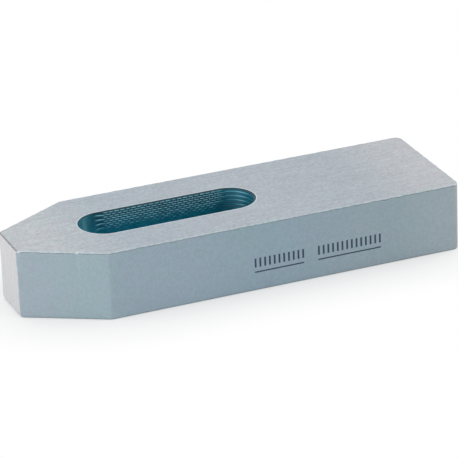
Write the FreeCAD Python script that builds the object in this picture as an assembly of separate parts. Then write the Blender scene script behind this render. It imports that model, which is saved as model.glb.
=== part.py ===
"""Plain slotted clamp bar with a tapered nose, for an M16 stud. One solid piece of steel.

Frame, in millimetres: the origin is on the underside, in the middle of the bar. +X runs along the bar
to the heel, so the nose points along -X. +Y is across the bar, and +Z is up, out of the nut's seat.
"""

import FreeCAD
import Part

import math
import os

# Bar
LENGTH = 160.0  # nose end to heel end
WIDTH = 50.0
THICKNESS = 25.0
NOSE_WIDTH = 18.0  # flat end of the nose
TAPER_ANGLE = 30.0  # degrees by which each flank of the nose leans in from the bar's side

# Slot
SLOT_WIDTH = 18.0  # clear width for the stud, between ridge crests
START_FROM_NOSE = 36.0  # nose end to the axis of the slot's front end, where its start hole is
SLOT_CENTRES = 46.0  # between the axes of the slot's two round ends
MOUTH_BREAK = 0.2  # how far each mouth's bevel reaches past the grooves

# Ridges that a coarse roughing cutter leaves on the slot's wall, from its start hole to the back end
RIDGE_PITCH = 1.6
RIDGE_DEPTH = 0.6
CREST_LAND = 0.15  # flat top of a ridge; its flanks fall away at 45 degrees

# Outer edges
NOSE_CORNER_RADIUS = 0.8  # upright corners of the nose end
SHOULDER_RADIUS = 2.0  # upright corners where the taper meets the sides
HEEL_CORNER_RADIUS = 2.5  # upright corners of the heel
TOE_RADIUS = 1.4  # lower edge of the nose end, which presses on the work
TOP_EDGE_RADIUS = 0.4
BOTTOM_EDGE_RADIUS = 0.5

NOSE_X = -LENGTH / 2
HEEL_X = LENGTH / 2
TAPER_LENGTH = (WIDTH - NOSE_WIDTH) / 2 / math.tan(math.radians(TAPER_ANGLE))
SHOULDER_X = NOSE_X + TAPER_LENGTH

CREST_RADIUS = SLOT_WIDTH / 2
GROOVE_RADIUS = CREST_RADIUS + RIDGE_DEPTH
MOUTH_RADIUS = GROOVE_RADIUS + MOUTH_BREAK
SLOT_FRONT_X = NOSE_X + START_FROM_NOSE

OVERSHOOT = 1.0  # how far the slot's cutter stands out of the top and bottom faces
TOLERANCE = 1e-4


def point(x, y, z):
    return FreeCAD.Vector(x, y, z)


def is_upright(edge):
    box = edge.BoundBox
    return box.XLength < TOLERANCE and box.YLength < TOLERANCE


def lies_at(edge, z):
    box = edge.BoundBox
    return abs(box.ZMin - z) < TOLERANCE and abs(box.ZMax - z) < TOLERANCE


def plain_bar():
    """The bar's plan outline, extruded to its thickness."""
    right_side = [
        (NOSE_X, -NOSE_WIDTH / 2),
        (SHOULDER_X, -WIDTH / 2),
        (HEEL_X, -WIDTH / 2),
    ]
    left_side = [(x, -y) for x, y in reversed(right_side)]
    corners = [point(x, y, 0) for x, y in right_side + left_side]
    outline = Part.makePolygon(corners + corners[:1])
    return Part.Face(outline).extrude(point(0, 0, THICKNESS))


def round_upright_corners(bar):
    """Round the six upright corners, two at each of three places along the bar."""
    for x, radius in (
        (NOSE_X, NOSE_CORNER_RADIUS),
        (SHOULDER_X, SHOULDER_RADIUS),
        (HEEL_X, HEEL_CORNER_RADIUS),
    ):
        upright = [edge for edge in bar.Edges if is_upright(edge)]
        upright.sort(key=lambda edge: abs(edge.BoundBox.Center.x - x))
        bar = bar.makeFillet(radius, upright[:2])
    return bar


def soften_outline(bar, z, radius):
    """Round the edges between the bar's sides and one of its two flat faces."""
    outline = [edge for edge in bar.Edges if lies_at(edge, z)]
    return bar.makeFillet(radius, outline)


def round_toe(bar):
    """Round the lower edge of the nose end, by cutting away what lies outside a quarter round."""
    back_x = NOSE_X + TOE_RADIUS
    bow = TOE_RADIUS * (1 - math.cos(math.pi / 4))
    half_reach = WIDTH / 2 + OVERSHOOT
    start = point(NOSE_X, -half_reach, TOE_RADIUS)
    middle = point(NOSE_X + bow, -half_reach, bow)
    end = point(back_x, -half_reach, 0)
    outside = [
        end,
        point(back_x, -half_reach, -OVERSHOOT),
        point(NOSE_X - OVERSHOOT, -half_reach, -OVERSHOOT),
        point(NOSE_X - OVERSHOOT, -half_reach, TOE_RADIUS),
        start,
    ]
    edges = [Part.Arc(start, middle, end).toShape()] + Part.makePolygon(outside).Edges
    waste = Part.Face(Part.Wire(edges)).extrude(point(0, 2 * half_reach, 0))
    return bar.cut(waste)


def ridge_profile(low, high):
    """The wavy side of the cutter from high down to low, as points of radius and height.

    Whole ridges start below a groove at the high end, and what is left at the low end is one groove.
    """
    groove_land = RIDGE_PITCH - CREST_LAND - 2 * RIDGE_DEPTH
    count = int((high - low - groove_land) / RIDGE_PITCH)
    profile = [(GROOVE_RADIUS, high)]
    for i in range(count):
        start = high - groove_land - i * RIDGE_PITCH
        crest = start - RIDGE_DEPTH
        profile += [
            (GROOVE_RADIUS, start),
            (CREST_RADIUS, crest),
            (CREST_RADIUS, crest - CREST_LAND),
            (GROOVE_RADIUS, crest - CREST_LAND - RIDGE_DEPTH),
        ]
    return profile + [(GROOVE_RADIUS, low)]


def half_section(side):
    """Half of a cutter's section, in the YZ plane, with its axis on Z and the side given from the top."""
    above = [(0, THICKNESS + OVERSHOOT), (MOUTH_RADIUS, THICKNESS + OVERSHOOT), (MOUTH_RADIUS, THICKNESS)]
    below = [(MOUTH_RADIUS, 0), (MOUTH_RADIUS, -OVERSHOOT), (0, -OVERSHOOT)]
    corners = [point(0, radius, z) for radius, z in above + side + below]
    return Part.Face(Part.makePolygon(corners + corners[:1]))


def start_hole():
    """The smooth hole, drilled to the grooves' depth at the slot's front end, where the cutter goes in."""
    plain_side = [(GROOVE_RADIUS, THICKNESS - MOUTH_BREAK), (GROOVE_RADIUS, MOUTH_BREAK)]
    return half_section(plain_side).revolve(point(0, 0, 0), point(0, 0, 1), 360)


def milled_run():
    """What the roughing cutter sweeps: a straight run from the start hole, and a half turn at its end."""
    section = half_section(ridge_profile(MOUTH_BREAK, THICKNESS - MOUTH_BREAK))
    run = point(SLOT_CENTRES, 0, 0)
    back_end = section.revolve(point(0, 0, 0), point(0, 0, 1), -180)
    back_end.translate(run)
    left_half = section.extrude(run)
    right_half = section.mirror(point(0, 0, 0), point(0, 1, 0)).extrude(run)
    return back_end.fuse([left_half, right_half]).removeSplitter()


def cut_slot(bar):
    for cutter in (milled_run(), start_hole()):
        cutter.translate(point(SLOT_FRONT_X, 0, 0))
        bar = bar.cut(cutter)
    return bar.Solids[0]


def clamp_bar():
    bar = round_upright_corners(plain_bar())
    bar = soften_outline(bar, THICKNESS, TOP_EDGE_RADIUS)
    bar = soften_outline(bar, 0, BOTTOM_EDGE_RADIUS)
    bar = round_toe(bar)
    return cut_slot(bar)


def main():
    os.makedirs("parts", exist_ok=True)
    shape = clamp_bar()
    shape.exportStep("parts/clamp_bar.step")


main()
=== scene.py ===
"""The slotted clamp bar as it looks: lacquered steel with a rough-milled slot, on a pale floor.

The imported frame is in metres, with the nose along -X and the underside on z = 0. The bar's sizes here are
in millimetres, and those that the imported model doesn't state are repeated from the part. The stage, the
lamps and the camera are in metres.
"""

import math

import bpy
from mathutils import Matrix, Vector, noise


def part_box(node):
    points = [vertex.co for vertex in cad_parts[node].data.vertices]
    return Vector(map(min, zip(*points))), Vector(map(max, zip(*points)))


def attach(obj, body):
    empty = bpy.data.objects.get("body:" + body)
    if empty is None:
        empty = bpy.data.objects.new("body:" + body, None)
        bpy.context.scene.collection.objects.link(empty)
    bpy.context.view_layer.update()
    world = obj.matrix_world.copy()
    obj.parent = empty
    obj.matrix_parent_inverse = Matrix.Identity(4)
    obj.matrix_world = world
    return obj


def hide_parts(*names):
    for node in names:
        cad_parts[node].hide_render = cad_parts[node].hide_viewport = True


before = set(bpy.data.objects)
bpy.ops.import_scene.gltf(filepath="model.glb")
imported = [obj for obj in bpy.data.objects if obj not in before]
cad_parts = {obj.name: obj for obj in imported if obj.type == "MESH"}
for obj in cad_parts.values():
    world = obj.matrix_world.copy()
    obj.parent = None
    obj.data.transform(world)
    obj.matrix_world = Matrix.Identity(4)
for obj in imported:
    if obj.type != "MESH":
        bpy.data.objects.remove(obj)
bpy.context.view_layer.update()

MM = 0.001
TOLERANCE = 0.01
low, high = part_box("clamp_bar")

# Bar
WIDTH = (high.y - low.y) / MM
THICKNESS = (high.z - low.z) / MM
NOSE_X = low.x / MM
HEEL_X = high.x / MM
NOSE_WIDTH = 18.0
TAPER_ANGLE = 30.0
TAPER_LENGTH = (WIDTH - NOSE_WIDTH) / 2 / math.tan(math.radians(TAPER_ANGLE))
SHOULDER_X = NOSE_X + TAPER_LENGTH

# Outer edges
PRINT_ROOM = 0.02  # how far the drawn sides stay inside the CAD's, so that ink on them does too
NOSE_CORNER_RADIUS = 0.8
SHOULDER_RADIUS = 2.0
HEEL_CORNER_RADIUS = 2.5
TOE_RADIUS = 1.4
TOP_EDGE_RADIUS = 0.4
BOTTOM_EDGE_RADIUS = 0.5
EDGE_LINE = 0.3  # height of the darker line below the top edge
EDGE_WOBBLE = 0.6  # how much the top edge's radius varies along it
WOBBLE_RATE = 0.4  # waves of that a millimetre
NICKS = ((-79.6, -9.3, 0.8), (-61.9, -19.3, 0.8))  # x, y and reach of small dents in the top edge
NICK_PUSH = Vector((0.15, 0.24, -0.15))  # how far a nick's middle is pressed in
BARE_SHARE = 0.75  # share of a nick's reach within which its steel is bare

# Slot, to the crests of its ridges
SLOT_RADIUS = 9.0
SLOT_FRONT_X = NOSE_X + 36.0
SLOT_BACK_X = SLOT_FRONT_X + 46.0
MOUTH_BREAK = 0.2  # how far each mouth's bevel reaches past the grooves
MOUTH_RUB = 0.4  # width of the rubbed rim on the flat faces round the slot

# What the roughing cutter leaves on the slot's wall. Its pockets lie in rows, each with a ledge below
RIDGE_PITCH = 1.6
RIDGE_DEPTH = 0.6
ROW_PITCH = RIDGE_PITCH / 2
FEED = 2.15  # length of one pocket along the slot
POCKET_DEPTH = 0.34
POCKET_SPREAD = (0.85, 1.1)  # least and greatest share of that depth, from pocket to pocket
POCKET_SKEW = 1.6  # above 1, a pocket is deepest below the middle of its row
POCKET_ENDS = 3  # the greater, the more sudden a pocket's two ends
LEDGE_TILT = 0.55  # a facet of the wall that faces up at least this much is on a ledge, painted lighter as a highlight
FADE = 0.8  # how much shallower pockets and ridges are deep inside the slot
FADE_FROM, FADE_RUN = 2.0, 7.0  # how far from either face that starts, and over what depth it grows
FIRST_ROW = 0.15  # share of the first row that would be above the top face
LIP = 0.35  # height of the plain lip above the pockets, painted dark as shade below the mouth
LIP_ROWS = 0.5  # where the wall stops being plain, in rows from the start of the first
ENTRY_X = SLOT_FRONT_X - 2.0  # where the smooth start hole gives way to ridges
ENTRY_RUN = 4.0  # length of the plain ridges that come out of the hole
ENTRY_CUT = 0.85  # share of the ridges' depth by which they stand out of the wall there
ENTRY_SHARPNESS = 3  # the greater, the narrower those ridges
ENTRY_BEND = 0.9  # how far the deeper ones bend down towards it
BEND_DEPTH = 5.0  # distance from either face at which they bend the most
EXIT_RUN = 2.5  # length over which the pockets give way to the back end's rings
RING_DEPTH = 0.18  # of those rings

# Printed marks on the right side: two runs of even ticks over a thin rule
INK_HEIGHT = 0.012
INK_ROOT = 0.05
TICK_Z = 8.6
TICK_WIDTH = 0.7
TICK_HEIGHT = 3.4
TICK_PITCH = 1.8
TICK_RUNS = ((1.0, 11), (25.0, 14))  # start and number of ticks
RULE_Z = 6.6
RULE_HEIGHT = 0.5

# Teal film on the slot's wall. Its tones are those of the start hole, the front and the back of the straight
# walls, and the back end. How they differ by place and depth is painted light and shade.
FILM_NEAR_MOUTHS = ((0.065, 0.35, 0.44), (0.004, 0.095, 0.145), (0.003, 0.07, 0.11), (0.018, 0.205, 0.295))
FILM_DEEP_DOWN = ((0.04, 0.38, 0.50), (0.004, 0.265, 0.395), (0.004, 0.23, 0.335), (0.005, 0.13, 0.19))
# On the ledges the film is painted lighter, a painted highlight on the facets that face up
FILM_ON_LEDGES = ((0.065, 0.35, 0.44), (0.09, 0.33, 0.42), (0.07, 0.28, 0.365), (0.018, 0.205, 0.295))
FILM_TURN = 4.0  # how far past the straight walls the tones of the round ends are reached
FILM_DEPTHS = (0.03, 0.38)  # shares of the thickness from a mouth, between which it turns to the deep tones
FILM_TINTS = ((0.85, 0.93, 0.96), (1.15, 1.07, 1.04))  # of its mottle

# Lacquer: its tones along the bar, by stops of (x, colour), and the tints of its coarse mottle
# Painted light: the top face's and the sides' tones are lighter towards the nose and the heel, and the top
# face is partly painted paler than the sides
FACE_TONES = (
    (-72, (0.515, 0.548, 0.578)),
    (-38, (0.41, 0.465, 0.52)),
    (10, (0.435, 0.48, 0.53)),
    (45, (0.42, 0.465, 0.515)),
    (76, (0.515, 0.53, 0.56)),
)
SIDE_TONES = (
    (-79, (0.365, 0.44, 0.50)),
    (-57, (0.345, 0.45, 0.495)),
    (-45, (0.335, 0.43, 0.50)),
    (10, (0.295, 0.395, 0.463)),
    (50, (0.31, 0.393, 0.44)),
    (76, (0.345, 0.42, 0.46)),
    (80, (0.36, 0.40, 0.42)),
)
RUB_TONES = ((-60, (0.60, 0.69, 0.74)), (20, (0.62, 0.72, 0.78)))
NOSE_TONES = ((-80, (0.60, 0.595, 0.615)), (-60, (0.60, 0.595, 0.615)))
NOSE_LINE_TONES = ((-80, (0.27, 0.275, 0.285)), (-60, (0.27, 0.275, 0.285)))
# The top edge's rounding is painted lighter than the faces beside it, a painted highlight
EDGE_TONES = ((-70, (0.50, 0.56, 0.60)), (10, (0.47, 0.54, 0.58)), (70, (0.49, 0.54, 0.57)))
LINE_TONES = ((-70, (0.25, 0.31, 0.345)), (10, (0.225, 0.29, 0.33)), (70, (0.225, 0.275, 0.30)))
# The lip's tone is painted shade below the slot's top mouth
LIP_TONES = ((-60, (0.008, 0.04, 0.055)), (20, (0.008, 0.04, 0.055)))
PINKISH = (1.016, 0.99, 1.008)
GREENISH = (0.984, 1.01, 0.992)
MOTTLE_RATE, GRAIN_RATE = 260, 1100  # of the coarse and the fine mottle, a metre
STREAK_STRENGTH = 0.05
INK_TONES = ((0.016, 0.035, 0.07), (0.04, 0.065, 0.11))
NOISE_RANGE = (0.3, 0.7)  # values between which a noise mostly stays

# Mesh
LEAST_RADIUS = 0.05  # of an upright corner, however far the outline is moved inwards
SIDE_RINGS = (0.75, 0.5, 0.25)  # heights of rings of points on the sides, as shares of the thickness
TOE_RINGS = (0.55, 0.8, 1.1)  # insets of rings of points on the underside, as shares of the toe's radius
EDGE_STEP = 0.4
CORNER_STEPS = 6
ROUND_STEPS = 3
WALL_STEP = FEED / 7
END_STEPS = 34
ROW_STEPS = 7
ROW_GAP = 0.05  # least drop from the mouth's break to the first row of points below it
SHARP_ANGLE = math.radians(60)
NOSE_END_NORMAL = -0.9  # a side face that points this far towards -X belongs to the nose end
NOSE_END_REACH = 0.6  # share of the nose corners' radius over which the edge belongs to it too

# Stage and light, in metres, degrees and watts
FLOOR_HALF = 4.0
FLOOR_DROP = 0.0001
SHADOW_REACH = 0.03  # how far from the bar the floor is darkened by it
WORLD_COLOUR = (0.95, 0.98, 1.0, 1)
WORLD_STRENGTH = 0.55
LAMPS = (  # name, azimuth from +X towards +Y, elevation, distance, size, power, colour
    ("left_lamp", 188, 30, 0.55, 0.6, 1.62, (1.0, 0.99, 0.97)),
    ("right_lamp", -12, 30, 0.55, 0.6, 1.06, (1.0, 0.99, 0.97)),
    ("front_lamp", -100, 20, 1.2, 0.6, 0.25, (1.0, 1.0, 1.0)),
)

# Camera, in metres, but for its lens: the photograph's viewing angle and perspective
AZIMUTH = math.radians(-21.66)
ELEVATION = math.radians(23.55)
ROLL = math.radians(-2.17)
DISTANCE = 1.156
AIM_RIGHT = 0.00125  # how far the line of sight passes to the right of the origin, and above it
AIM_UP = 0.01256
FOCAL_LENGTH = 256.8  # millimetres, like the sensor's width
SENSOR = 36.0


def smoothstep(value):
    value = min(max(value, 0.0), 1.0)
    return value * value * (3 - 2 * value)


# ------------------------------------------------------------------ the bar's outer skin


def sharp_outline(inset):
    """The plan's six corners, counter-clockwise from above, each side moved inwards by inset."""
    inset += PRINT_ROOM
    side = [(NOSE_X, -NOSE_WIDTH / 2), (SHOULDER_X, -WIDTH / 2), (HEEL_X, -WIDTH / 2)]
    corners = [Vector(p) for p in side] + [Vector((x, -y)) for x, y in reversed(side)]
    inwards = []
    for i, corner in enumerate(corners):
        along = (corners[(i + 1) % 6] - corner).normalized()
        inwards.append(Vector((-along.y, along.x)))
    moved = []
    for i, corner in enumerate(corners):
        before, after = inwards[i - 1], inwards[i]
        moved.append(corner + (before + after) * inset / (1 + before.dot(after)))
    return moved


def outline(inset):
    """The rounded plan outline, moved inwards by inset. It has as many points for any inset."""
    full, sharp = sharp_outline(0), sharp_outline(inset)
    radii = [NOSE_CORNER_RADIUS, SHOULDER_RADIUS, HEEL_CORNER_RADIUS]
    arcs = []
    for i, (corner, radius) in enumerate(zip(sharp, radii + radii[::-1])):
        before = (sharp[i - 1] - corner).normalized()
        after = (sharp[(i + 1) % 6] - corner).normalized()
        half = before.angle(after) / 2
        radius = max(radius - inset, LEAST_RADIUS)
        centre = corner + (before + after).normalized() * radius / math.sin(half)
        arm = corner + before * radius / math.tan(half) - centre
        turn = (math.pi - 2 * half) / CORNER_STEPS
        arcs.append([centre + Matrix.Rotation(turn * k, 2) @ arm for k in range(CORNER_STEPS + 1)])
    points = []
    for i, arc in enumerate(arcs):
        points += arc
        start, end = arc[-1], arcs[(i + 1) % 6][0]
        steps = round((full[(i + 1) % 6] - full[i]).length / EDGE_STEP)
        points += [start.lerp(end, k / steps) for k in range(1, steps)]
    return points


def edge_profile():
    """Down the bar's side, from the rim of its top face to inside its underside: (inset, height, kind).

    The kind is that of the strip between this ring of points and the next.
    """
    profile = []
    for k in range(ROUND_STEPS + 1):
        angle = math.pi / 2 * k / ROUND_STEPS
        drop = TOP_EDGE_RADIUS * (1 - math.cos(angle))
        profile.append((TOP_EDGE_RADIUS * (1 - math.sin(angle)), THICKNESS - drop, "edge"))
    profile[-1] = (*profile[-1][:2], "line")
    profile.append((0.0, THICKNESS - TOP_EDGE_RADIUS - EDGE_LINE, "side"))
    profile += [(0.0, THICKNESS * share, "side") for share in SIDE_RINGS]
    profile += [(0.0, TOE_RADIUS, "side"), (0.0, TOE_RADIUS * 0.75, "side")]
    for k in range(ROUND_STEPS + 1):
        angle = math.pi / 2 * k / ROUND_STEPS
        inset = BOTTOM_EDGE_RADIUS * (1 - math.cos(angle))
        profile.append((inset, BOTTOM_EDGE_RADIUS * (1 - math.sin(angle)), "side"))
    profile += [(TOE_RADIUS * share, 0.0, "side") for share in TOE_RINGS]
    return profile


def wear(outer, point):
    """Vary the top edge's radius along it, and press the nicks into it. Outer is the outline there."""
    drop = THICKNESS - point.z
    if drop > TOP_EDGE_RADIUS + EDGE_LINE + TOLERANCE:
        return point
    share = 1 + EDGE_WOBBLE * noise.noise(Vector((outer.x * WOBBLE_RATE, outer.y * WOBBLE_RATE, 0)))
    point.x = outer.x + (point.x - outer.x) * share
    point.y = outer.y + (point.y - outer.y) * share
    point.z = THICKNESS - drop * share
    for x, y, reach in NICKS:
        point += NICK_PUSH * max(1 - (math.hypot(point.x - x, point.y - y) / reach) ** 2, 0)
    return point


def is_bare(x, y):
    """Whether a nick has taken the lacquer off a place on the top edge."""
    return any(math.hypot(x - nick_x, y - nick_y) < BARE_SHARE * reach for nick_x, nick_y, reach in NICKS)


def round_toe(point):
    """Bring a point near the nose's lower edge in to the quarter round there."""
    across, up = NOSE_X + TOE_RADIUS - point.x, TOE_RADIUS - point.z
    reach = math.hypot(across, up)
    if across > 0 and up > 0 and reach > TOE_RADIUS:
        point.x += across * (1 - TOE_RADIUS / reach)
        point.z += up * (1 - TOE_RADIUS / reach)
    return point


# ------------------------------------------------------------------ the slot's wall


def slot_columns():
    """Round the slot, clockwise from above: (point on its centre line, outward direction, way along).

    The way along a wall is its x where the wall is straight, and goes on round the ends up to their middle.
    """
    run = SLOT_BACK_X - SLOT_FRONT_X
    steps = round(run / WALL_STEP)
    columns = []
    for side in (1, -1):
        for k in range(steps):
            x = (SLOT_FRONT_X + SLOT_BACK_X) / 2 + side * run * (k / steps - 0.5)
            columns.append((x, 0.0, side, x))
        for k in range(END_STEPS):
            angle = math.pi * k / END_STEPS
            way = side * SLOT_RADIUS * min(angle, math.pi - angle)
            end_x = SLOT_BACK_X if side > 0 else SLOT_FRONT_X
            columns.append((end_x, side * math.sin(angle), side * math.cos(angle), end_x + way))
    return columns


def wall_rows():
    """Heights of the wall's rows of points, from the top face to the underside."""
    rows = []
    start = THICKNESS + FIRST_ROW * ROW_PITCH
    for i in range(math.ceil(start / ROW_PITCH)):
        rows += [start - (i + k / ROW_STEPS) * ROW_PITCH for k in range(ROW_STEPS)]
    inside = [z for z in rows if MOUTH_BREAK + ROW_GAP < z < THICKNESS - MOUTH_BREAK - ROW_GAP]
    return [THICKNESS, THICKNESS - MOUTH_BREAK] + inside + [MOUTH_BREAK, 0.0]


def wave(turns):
    """0 at whole turns and 1 halfway between them."""
    return 0.5 - 0.5 * math.cos(math.tau * turns)


def pocket(way, rows, side):
    """Depth of the staggered pockets, as a share of the usual one."""
    row = math.floor(rows)
    feeds = (way - SLOT_FRONT_X) / FEED + 0.5 * (row % 2)
    chance = noise.cell(Vector((math.floor(feeds) * 3.7, row * 5.3, side * 9.1)))
    window = 1 - abs(2 * (feeds % 1) - 1) ** POCKET_ENDS
    least, greatest = POCKET_SPREAD
    return wave((rows % 1) ** POCKET_SKEW) * window * (least + (greatest - least) * chance)


def wall_depth(way, z, side):
    """How deep the wall is cut past the ridge crests, at one way along it and one height."""
    rows = (THICKNESS - z) / ROW_PITCH + FIRST_ROW
    if way <= ENTRY_X or rows < LIP_ROWS:
        return RIDGE_DEPTH
    entered = smoothstep((way - ENTRY_X) / ENTRY_RUN - 0.5)
    leaving = smoothstep((way - SLOT_BACK_X) / EXIT_RUN)
    fade = 1 - FADE * smoothstep((min(z, THICKNESS - z) - FADE_FROM) / FADE_RUN)
    streaks = RIDGE_DEPTH * (1 - ENTRY_CUT * (1 - wave(rows / 2)) ** ENTRY_SHARPNESS * fade)
    cut = streaks + (POCKET_DEPTH * fade * pocket(way, rows, side) - streaks) * entered
    cut += (RING_DEPTH * wave(rows / 2) - cut) * leaving
    hole_radius = SLOT_RADIUS + RIDGE_DEPTH
    across = hole_radius ** 2 - (way - ENTRY_X) ** 2
    hole = math.sqrt(across) - SLOT_RADIUS if across > SLOT_RADIUS ** 2 else 0.0
    return max(cut, hole)


def wall_point(column, z):
    x, out_x, out_y, way = column
    side = 1 if out_y > 0 else -1
    to_face = min(z, THICKNESS - z)
    if to_face <= MOUTH_BREAK:
        radius = SLOT_RADIUS + RIDGE_DEPTH + MOUTH_BREAK - to_face
    else:
        radius = SLOT_RADIUS + wall_depth(way, z, side)
    bend = ENTRY_BEND * smoothstep(1 - (way - ENTRY_X) / ENTRY_RUN) * min(to_face / BEND_DEPTH, 1)
    return Vector((x + out_x * radius, out_y * radius, z - bend))


# ------------------------------------------------------------------ the whole bar


def cap(rim, mouth, points, upwards):
    """Triangles of a flat face between its outer rim and the slot's mouth, by index.

    Both loops run counterclockwise from above, and are walked together by the angle of their points
    about the middle of the slot.
    """
    middle_x = (SLOT_FRONT_X + SLOT_BACK_X) / 2

    def turn(i):
        return math.atan2(points[i].y, points[i].x - middle_x)

    def from_least_turn(loop):
        start = loop.index(min(loop, key=turn))
        return [*loop[start:], *loop[:start]]

    outer, inner = from_least_turn(rim), from_least_turn(mouth)
    outer_turns = [turn(i) for i in outer[1:]] + [turn(outer[0]) + math.tau, math.inf]
    inner_turns = [turn(i) for i in inner[1:]] + [turn(inner[0]) + math.tau, math.inf]
    faces = []
    a = b = 0
    while a < len(outer) or b < len(inner):
        here, there = outer[a % len(outer)], inner[b % len(inner)]
        if outer_turns[a] < inner_turns[b]:
            a += 1
            face = (here, outer[a % len(outer)], there)
        else:
            b += 1
            face = (here, inner[b % len(inner)], there)
        faces.append(face if upwards else face[::-1])
    return faces


def build_bar():
    points, faces, kinds = [], [], []

    def add(new_faces, kind):
        faces.extend(new_faces)
        kinds.extend([kind] * len(new_faces))

    rings, ring_kinds = [], []
    outer = outline(0)
    for inset, z, kind in edge_profile():
        ring = [wear(o, round_toe(Vector((p.x, p.y, z)))) for o, p in zip(outer, outline(inset))]
        rings.append(range(len(points), len(points) + len(ring)))
        ring_kinds.append(kind)
        points.extend(ring)
    count = len(rings[0])
    for upper, lower, kind in zip(rings, rings[1:], ring_kinds):
        for i in range(count):
            j = (i + 1) % count
            add([(upper[i], lower[i], lower[j], upper[j])], kind)

    columns = slot_columns()
    wall, heights = [], wall_rows()
    for z in heights:
        wall.append(range(len(points), len(points) + len(columns)))
        points.extend(wall_point(column, z) for column in columns)
    for upper, lower, z in zip(wall, wall[1:], heights[1:]):
        # The lip below the top mouth is painted dark, as shade
        kind = "lip" if THICKNESS - z < LIP else "slot"
        for i in range(len(columns)):
            j = (i + 1) % len(columns)
            add([(upper[i], lower[i], lower[j], upper[j])], kind)

    for rim, mouth, upwards in ((rings[0], wall[0], True), (rings[-1], wall[-1], False)):
        rub = range(len(points), len(points) + len(columns))
        for column, i in zip(columns, mouth):
            outwards = Vector((column[1], column[2], 0))
            points.append(points[i] + outwards * MOUTH_RUB)
        for i in range(len(columns)):
            j = (i + 1) % len(columns)
            strip = (rub[i], mouth[i], mouth[j], rub[j])
            add([strip if upwards else strip[::-1]], "rub")
        add(cap(rim, rub[::-1], points, upwards), "face")
    return points, faces, kinds


def last_kind(kind, polygon):
    """The kind of a face, where its place or the way it points changes the one it was built with."""
    x, y = polygon.center.x / MM, polygon.center.y / MM
    # Facets of the slot that face up take the ledge film, a painted highlight
    if kind == "slot" and polygon.normal.z > LEDGE_TILT and x < SLOT_BACK_X + EXIT_RUN:
        return "ledge"
    if kind == "side" and polygon.normal.x < NOSE_END_NORMAL:
        return "nose"
    if kind in ("edge", "line") and x < NOSE_X + NOSE_CORNER_RADIUS * NOSE_END_REACH:
        return "nose_line" if kind == "edge" else "nose"
    if kind in ("edge", "line") and is_bare(x, y):
        return "nose"
    return kind


def make_bar(materials):
    """The bar, with materials by the kind of face that they are for."""
    points, faces, kinds = build_bar()
    mesh = bpy.data.meshes.new("clamp_bar_detail")
    mesh.from_pydata([p * MM for p in points], [], faces)
    bar = bpy.data.objects.new("clamp_bar_detail", mesh)
    bpy.context.scene.collection.objects.link(bar)
    for material in materials.values():
        mesh.materials.append(material)
    slots = list(materials)
    for polygon, kind in zip(mesh.polygons, kinds):
        kind = last_kind(kind, polygon)
        polygon.material_index = slots.index(kind)
        polygon.use_smooth = kind not in ("face", "rub")
    mesh.set_sharp_from_angle(angle=SHARP_ANGLE)
    modifier = bar.modifiers.new("even_normals", "WEIGHTED_NORMAL")
    modifier.keep_sharp = True
    return bar


# ------------------------------------------------------------------ the printed marks


def block(x, z, width, height):
    """A closed flat block of ink on the bar's right side, by its lower left corner."""
    front, back = -WIDTH / 2 + PRINT_ROOM - INK_HEIGHT, -WIDTH / 2 + PRINT_ROOM + INK_ROOT
    corners = [(x, z), (x + width, z), (x + width, z + height), (x, z + height)]
    points = [Vector((u, front, v)) for u, v in corners] + [Vector((u, back, v)) for u, v in corners]
    faces = [(0, 1, 2, 3), (7, 6, 5, 4)]
    faces += [(i, i + 4, (i + 1) % 4 + 4, (i + 1) % 4) for i in range(4)]
    return points, faces


def make_marks():
    """Two runs of even upright ticks, each over its own thin rule."""
    blocks = []
    for start, count in TICK_RUNS:
        blocks += [(start + i * TICK_PITCH, TICK_Z, TICK_WIDTH, TICK_HEIGHT) for i in range(count)]
        blocks.append((start, RULE_Z, (count - 1) * TICK_PITCH + TICK_WIDTH, RULE_HEIGHT))
    points, faces = [], []
    for size in blocks:
        new_points, new_faces = block(*size)
        faces += [[i + len(points) for i in face] for face in new_faces]
        points += new_points
    mesh = bpy.data.meshes.new("ink_marks")
    mesh.from_pydata([p * MM for p in points], [], faces)
    marks = bpy.data.objects.new("ink_marks", mesh)
    bpy.context.scene.collection.objects.link(marks)
    return marks


# ------------------------------------------------------------------ materials


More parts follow.
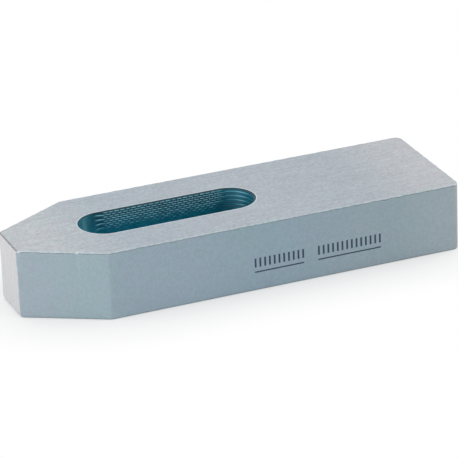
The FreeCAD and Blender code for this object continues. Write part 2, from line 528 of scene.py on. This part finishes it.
class Surface:
    """A material whose tone, gloss and relief come from noises in the object's own coordinates."""

    def __init__(self, name, metallic):
        self.material = bpy.data.materials.new(name)
        self.material.use_nodes = True
        self.nodes = self.material.node_tree.nodes
        self.links = self.material.node_tree.links
        self.shader = self.nodes["Principled BSDF"]
        self.shader.inputs["Metallic"].default_value = metallic
        self.place = self.nodes.new("ShaderNodeTexCoord").outputs["Object"]

    def noise(self, scale, detail, stretch=(1, 1, 1)):
        mapping = self.nodes.new("ShaderNodeMapping")
        mapping.inputs["Scale"].default_value = stretch
        self.links.new(self.place, mapping.inputs["Vector"])
        node = self.nodes.new("ShaderNodeTexNoise")
        node.inputs["Scale"].default_value = scale
        node.inputs["Detail"].default_value = detail
        self.links.new(mapping.outputs["Vector"], node.inputs["Vector"])
        return node.outputs["Fac"]

    def along(self, axis, start, end):
        """0 at the start and 1 at the end of a stretch along an axis, in millimetres."""
        split = self.nodes.new("ShaderNodeSeparateXYZ")
        self.links.new(self.place, split.inputs["Vector"])
        node = self.nodes.new("ShaderNodeMapRange")
        node.inputs["From Min"].default_value = start * MM
        node.inputs["From Max"].default_value = end * MM
        self.links.new(split.outputs[axis], node.inputs["Value"])
        return node.outputs["Result"]

    def ramp(self, source, *stops):
        """Colours that follow one another smoothly, by stops of (position from 0 to 1, colour)."""
        node = self.nodes.new("ShaderNodeValToRGB")
        node.color_ramp.interpolation = "EASE"
        elements = node.color_ramp.elements
        while len(elements) < len(stops):
            elements.new(1.0)
        for element, (position, colour) in zip(elements, stops):
            element.position = position
            element.color = (*colour, 1)
        self.links.new(source, node.inputs["Fac"])
        return node.outputs["Color"]

    def from_noise(self, source, low, high):
        """A colour that goes from low to high as a noise does."""
        return self.ramp(source, *zip(NOISE_RANGE, (low, high)))

    def vary(self, tone, source, low, high):
        """Multiply a tone by a colour between low and high, as a noise goes from low to high."""
        return self.mix(None, tone, self.from_noise(source, low, high), "MULTIPLY")

    def mix(self, share, a, b, blend="MIX"):
        node = self.nodes.new("ShaderNodeMix")
        node.data_type = "RGBA"
        node.blend_type = blend
        node.inputs["Factor"].default_value = 1
        if share is not None:
            self.links.new(share, node.inputs["Factor"])
        self.links.new(a, node.inputs["A"])
        self.links.new(b, node.inputs["B"])
        return node.outputs["Result"]

    def colour(self, source):
        self.links.new(source, self.shader.inputs["Base Color"])

    def roughness(self, low, high, scale):
        node = self.nodes.new("ShaderNodeMapRange")
        node.inputs["To Min"].default_value = low
        node.inputs["To Max"].default_value = high
        self.links.new(self.noise(scale, 3), node.inputs["Value"])
        self.links.new(node.outputs["Result"], self.shader.inputs["Roughness"])

    def bump(self, scale, height, strength):
        node = self.nodes.new("ShaderNodeBump")
        node.inputs["Strength"].default_value = strength
        node.inputs["Distance"].default_value = height * MM
        self.links.new(self.noise(scale, 4), node.inputs["Height"])
        self.links.new(node.outputs["Normal"], self.shader.inputs["Normal"])


def lacquer(name, stops, grain, stretch=None):
    """Metallic lacquer, whose tone changes along the bar by stops of (x, colour).

    Grain is the strength of its fine mottle. A stretch draws faint streaks, longest along its least axis.
    """
    surface = Surface(name, metallic=0.3)
    shares = [((x - NOSE_X) / (HEEL_X - NOSE_X), colour) for x, colour in stops]
    tone = surface.ramp(surface.along("X", NOSE_X, HEEL_X), *shares)
    tone = surface.vary(tone, surface.noise(MOTTLE_RATE, detail=3), PINKISH, GREENISH)
    tone = surface.vary(tone, surface.noise(GRAIN_RATE, detail=2), (1 - grain,) * 3, (1 + grain,) * 3)
    if stretch:
        streaks = surface.noise(GRAIN_RATE, detail=2, stretch=stretch)
        tone = surface.vary(tone, streaks, (1 - STREAK_STRENGTH,) * 3, (1 + STREAK_STRENGTH,) * 3)
    surface.colour(tone)
    surface.roughness(low=0.36, high=0.48, scale=700)
    surface.bump(scale=1800, height=0.02, strength=0.25)
    return surface.material


def teal_film(name, tones):
    """The thin teal film on the slot's wall, by its tones near the mouths, which turn to others deep down:
    painted light and shade.
    """
    surface = Surface(name, metallic=0.4)
    along = surface.along("X", ENTRY_X - FILM_TURN, SLOT_BACK_X + FILM_TURN)
    turn = 2 * FILM_TURN / (SLOT_BACK_X - ENTRY_X + 2 * FILM_TURN)
    places = (0, turn, 1 - turn, 1)
    near_mouths = surface.ramp(along, *zip(places, tones))
    deep_down = surface.ramp(along, *zip(places, FILM_DEEP_DOWN))
    black, white = (0, 0, 0), (1, 1, 1)
    start, full = FILM_DEPTHS
    height = surface.along("Z", 0, THICKNESS)
    inside = surface.ramp(height, (start, black), (full, white), (1 - full, white), (1 - start, black))
    tone = surface.mix(inside, near_mouths, deep_down)
    surface.colour(surface.vary(tone, surface.noise(scale=500, detail=3), *FILM_TINTS))
    surface.roughness(low=0.24, high=0.36, scale=900)
    surface.bump(scale=1500, height=0.015, strength=0.2)
    surface.shader.inputs["Coat Weight"].default_value = 0.6
    surface.shader.inputs["Coat Roughness"].default_value = 0.12
    return surface.material


def ink():
    surface = Surface("dark_ink", metallic=0.0)
    surface.colour(surface.from_noise(surface.noise(scale=1200, detail=3), *INK_TONES))
    surface.roughness(low=0.5, high=0.7, scale=900)
    return surface.material


def bar_materials():
    """The material of each kind of face."""
    return {
        "face": lacquer("ground_face", FACE_TONES, grain=0.1, stretch=(0.1, 1, 1)),
        "side": lacquer("grey_blue_side", SIDE_TONES, grain=0.045),
        "slot": teal_film("teal_film", FILM_NEAR_MOUTHS),
        "ledge": teal_film("ledge_painted_highlight", FILM_ON_LEDGES),
        "lip": lacquer("dark_lip", LIP_TONES, grain=0.1),
        "rub": lacquer("rubbed_rim", RUB_TONES, grain=0.05),
        "nose": lacquer("bright_nose", NOSE_TONES, grain=0.04, stretch=(1, 1, 0.1)),
        "nose_line": lacquer("nose_line", NOSE_LINE_TONES, grain=0.15),
        "edge": lacquer("light_edge", EDGE_TONES, grain=0.1),
        "line": lacquer("darker_line", LINE_TONES, grain=0.1),
    }


# ------------------------------------------------------------------ stage, light and camera


def seen_by(nodes, links, *rays):
    """1 for the given kinds of ray, and 0 for all others."""
    path = nodes.new("ShaderNodeLightPath")
    seen = path.outputs[rays[0]]
    for ray in rays[1:]:
        either = nodes.new("ShaderNodeMath")
        either.operation = "MAXIMUM"
        links.new(seen, either.inputs[0])
        links.new(path.outputs[ray], either.inputs[1])
        seen = either.outputs["Value"]
    return seen


def floor_material():
    """Pale grey to the light, and white to what looks at it, but for the shadow near the bar."""
    material = bpy.data.materials.new("floor")
    material.use_nodes = True
    nodes, links = material.node_tree.nodes, material.node_tree.links
    shader = nodes["Principled BSDF"]
    shader.inputs["Base Color"].default_value = (0.8, 0.8, 0.8, 1)
    shader.inputs["Roughness"].default_value = 0.9
    shader.inputs["Specular IOR Level"].default_value = 0.0
    glow = nodes.new("ShaderNodeEmission")
    glow.inputs["Strength"].default_value = 1.0
    openness = nodes.new("ShaderNodeAmbientOcclusion")
    openness.inputs["Distance"].default_value = SHADOW_REACH
    share = nodes.new("ShaderNodeMath")
    share.operation = "MULTIPLY"
    links.new(seen_by(nodes, links, "Is Camera Ray", "Is Glossy Ray", "Is Transmission Ray"), share.inputs[0])
    links.new(openness.outputs["AO"], share.inputs[1])
    mix = nodes.new("ShaderNodeMixShader")
    links.new(share.outputs["Value"], mix.inputs["Fac"])
    links.new(shader.outputs["BSDF"], mix.inputs[1])
    links.new(glow.outputs["Emission"], mix.inputs[2])
    links.new(mix.outputs["Shader"], nodes["Material Output"].inputs["Surface"])
    return material


def make_floor():
    corners = [(-FLOOR_HALF, -FLOOR_HALF, 0), (FLOOR_HALF, -FLOOR_HALF, 0)]
    corners += [(-x, -y, z) for x, y, z in corners]
    mesh = bpy.data.meshes.new("floor")
    mesh.from_pydata(corners, [], [(0, 1, 2, 3)])
    mesh.materials.append(floor_material())
    floor = bpy.data.objects.new("floor", mesh)
    bpy.context.scene.collection.objects.link(floor)
    floor.location.z = -FLOOR_DROP
    return floor


def make_world():
    """A soft bluish light from all round, that the camera and reflections see as plain white."""
    world = bpy.data.worlds.new("studio")
    bpy.context.scene.world = world
    world.use_nodes = True
    nodes, links = world.node_tree.nodes, world.node_tree.links
    background = nodes["Background"]
    seen = seen_by(nodes, links, "Is Camera Ray", "Is Glossy Ray")
    level = nodes.new("ShaderNodeMapRange")
    level.inputs["To Min"].default_value = WORLD_STRENGTH
    level.inputs["To Max"].default_value = 1.0
    links.new(seen, level.inputs["Value"])
    links.new(level.outputs["Result"], background.inputs["Strength"])
    tint = nodes.new("ShaderNodeMix")
    tint.data_type = "RGBA"
    tint.inputs["A"].default_value = WORLD_COLOUR
    tint.inputs["B"].default_value = (1, 1, 1, 1)
    links.new(seen, tint.inputs["Factor"])
    links.new(tint.outputs["Result"], background.inputs["Color"])


def make_lamp(name, azimuth, elevation, distance, size, power, colour):
    """A square soft lamp that looks at the object."""
    lamp = bpy.data.lights.new(name, "AREA")
    lamp.size = size
    lamp.energy = power
    lamp.color = colour
    holder = bpy.data.objects.new(name, lamp)
    bpy.context.scene.collection.objects.link(holder)
    a, e = math.radians(azimuth), math.radians(elevation)
    back = Vector((math.cos(a) * math.cos(e), math.sin(a) * math.cos(e), math.sin(e)))
    holder.location = back * distance
    holder.rotation_euler = back.to_track_quat("Z", "Y").to_euler()


def make_camera():
    back = Vector((
        math.sin(AZIMUTH) * math.cos(ELEVATION),
        -math.cos(AZIMUTH) * math.cos(ELEVATION),
        math.sin(ELEVATION),
    ))
    level = Vector((math.cos(AZIMUTH), math.sin(AZIMUTH), 0))
    upright = back.cross(level)
    right = level * math.cos(ROLL) + upright * math.sin(ROLL)
    up = upright * math.cos(ROLL) - level * math.sin(ROLL)
    data = bpy.data.cameras.new("camera")
    data.lens = FOCAL_LENGTH
    data.sensor_width = SENSOR
    data.clip_start, data.clip_end = 0.01, 20
    camera = bpy.data.objects.new("camera", data)
    bpy.context.scene.collection.objects.link(camera)
    camera.rotation_mode = "QUATERNION"
    camera.rotation_quaternion = Matrix((right, up, back)).transposed().to_quaternion()
    camera.location = right * AIM_RIGHT + up * AIM_UP + back * DISTANCE
    bpy.context.scene.camera = camera


# ------------------------------------------------------------------ putting it together

bar = make_bar(bar_materials())
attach(bar, "root")
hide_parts("clamp_bar")

marks = make_marks()
marks.data.materials.append(ink())
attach(marks, "root")

floor = make_floor()
make_world()
for lamp in LAMPS:
    make_lamp(*lamp)
make_camera()
bpy.context.scene.view_settings.view_transform = "Standard"
